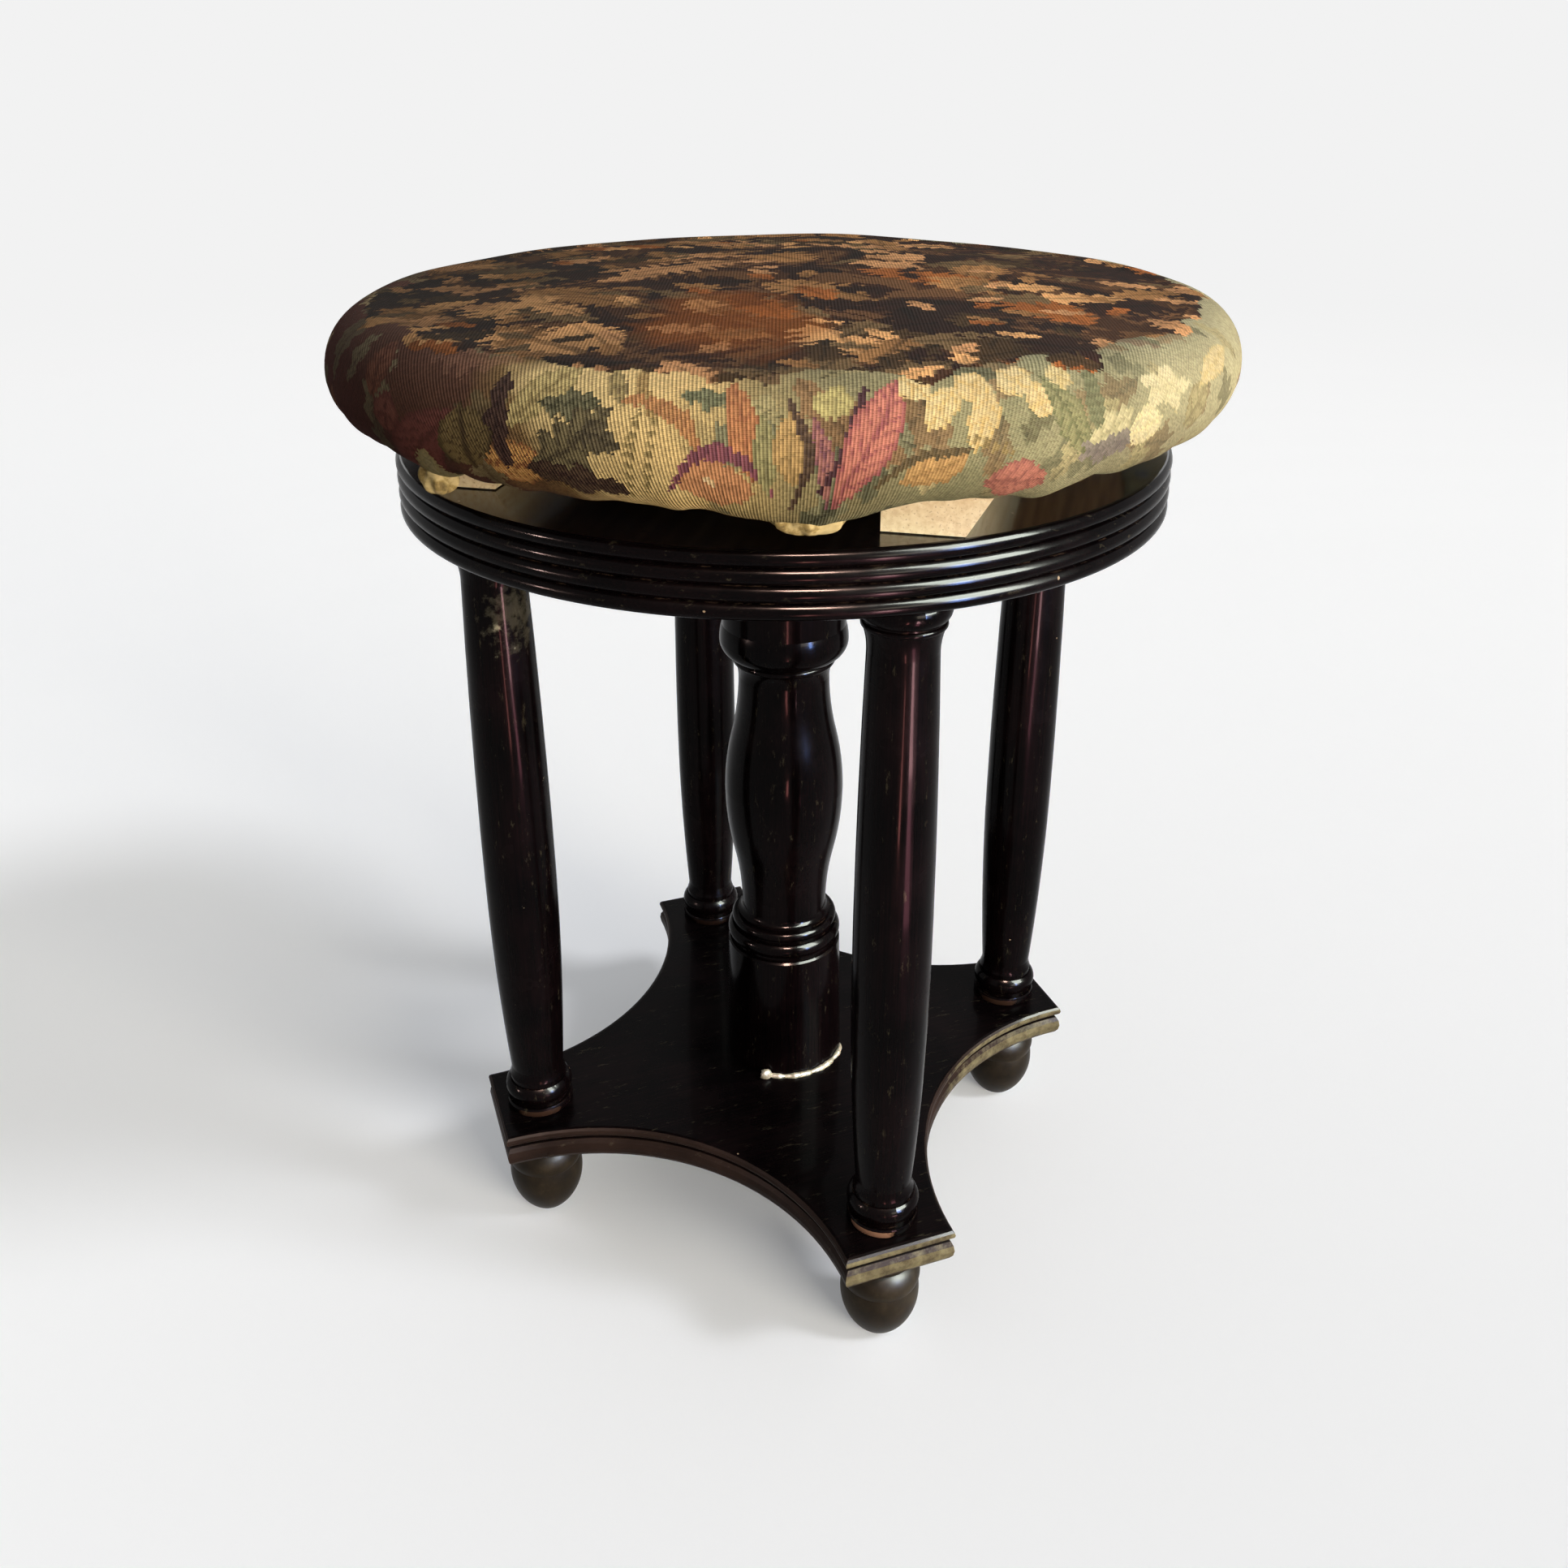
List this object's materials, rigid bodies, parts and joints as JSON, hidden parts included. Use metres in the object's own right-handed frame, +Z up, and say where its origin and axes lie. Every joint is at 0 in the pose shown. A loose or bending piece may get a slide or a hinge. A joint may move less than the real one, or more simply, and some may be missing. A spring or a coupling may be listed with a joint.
{
  "type": "adjustable piano stool",
  "caption": "Round upholstered stool seat that winds up and down on a central screw, on turned columns with a baluster, a hollow-sided plate and turned feet.",
  "frame": {"origin": "on the floor under the screw's axis, midway between the feet", "axes": "+Z up along the screw; the front column stands on -Y and the right column on +X"},
  "size_m": [0.3834, 0.3834, 0.471],
  "materials": {
    "ebonised_wood": "ebonised and French polished, glossy",
    "raw_wood": "bare sawn beech",
    "seat_board_wood": "bare pine board",
    "cast_iron": "japanned black",
    "steel": "turned, lightly greased",
    "screw_steel": "dull bright steel",
    "blued_tacks": "blued cut tacks",
    "stuffing": "stuffed wadding in calico",
    "tapestry": "woven leaf-pattern tapestry"
  },
  "bodies": {
    "base": {"base_plate": "ebonised_wood", "foot_front": "ebonised_wood", "column_front": "ebonised_wood", "foot_right": "ebonised_wood", "column_right": "ebonised_wood", "foot_back": "ebonised_wood", "column_back": "ebonised_wood", "foot_left": "ebonised_wood", "column_left": "ebonised_wood", "baluster": "ebonised_wood", "top_board": "ebonised_wood", "spindle_nut": "cast_iron", "nut_screws": "screw_steel"},
    "stop": {"stop_washer": "steel"},
    "seat": {"spindle": "steel", "stop_nut": "steel", "spindle_flange": "cast_iron", "flange_screws": "screw_steel", "seat_board": "seat_board_wood", "cleat_left": "raw_wood", "cleat_right": "raw_wood", "cleat_screws": "screw_steel", "seat_padding": "stuffing", "seat_cover": "tapestry", "cover_tacks": "blued_tacks"}
  },
  "joints": [
    {"name": "seat_lift", "type": "slide", "parent": "base", "child": "stop", "axis": [0, 0, 1], "range_m": [0, 0.1]},
    {"name": "seat_turn", "type": "hinge", "parent": "stop", "child": "seat", "pos_m": [0, 0, 0.4], "axis": [0, 0, 1], "range_deg": [0, 7200]}
  ],
  "couplings": [
    {"joint": "seat_lift", "follows": "seat_turn", "m_per_rad": 0.00079577}
  ]
}
